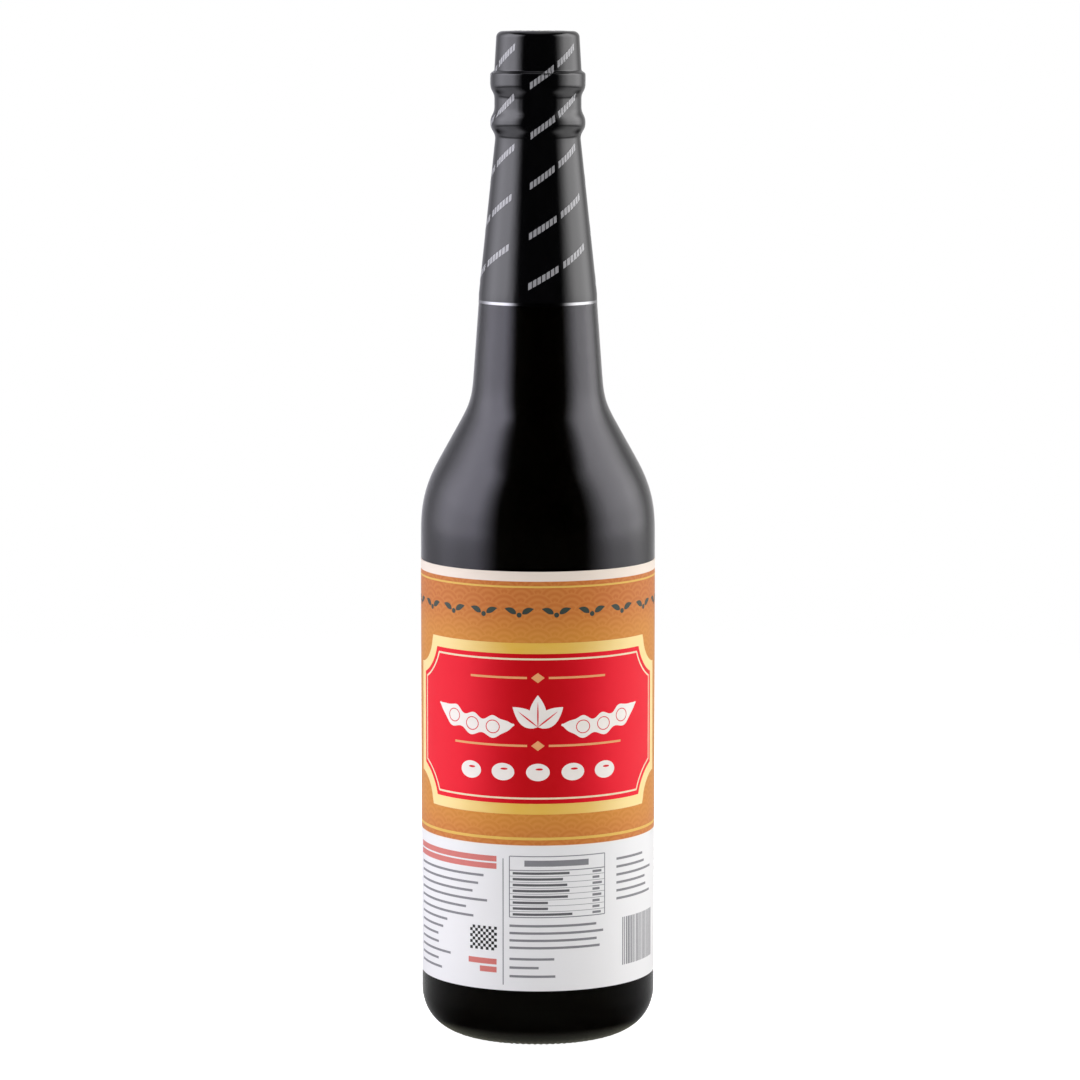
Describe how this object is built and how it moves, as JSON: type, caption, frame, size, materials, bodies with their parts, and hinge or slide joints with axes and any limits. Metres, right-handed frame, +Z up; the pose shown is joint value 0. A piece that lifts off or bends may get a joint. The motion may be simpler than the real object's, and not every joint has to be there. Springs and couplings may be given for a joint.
{
  "type": "soy sauce bottle",
  "caption": "Tall glass soy sauce bottle with a long tapered neck, full of dark sauce, with a wraparound paper label and a black shrink sleeve over its cap and neck.",
  "frame": {"origin": "centre of the base, on the plane of the foot ring", "axes": "+Z up along the bottle's axis, -Y towards the front of the label"},
  "size_m": [0.0706, 0.0706, 0.301],
  "materials": {
    "glass": "clear polished container glass with a faint green cast",
    "sauce": "near-black brown soy sauce, a liquid",
    "cap_plastic": "black moulded plastic",
    "shrink_film": "black semi-gloss shrink film with silver marks",
    "label_paper": "varnished paper printed orange, red and white"
  },
  "bodies": {
    "root": {"bottle": "glass", "sauce": "sauce", "cap": "cap_plastic", "sleeve": "shrink_film", "label": "label_paper"}
  },
  "joints": []
}
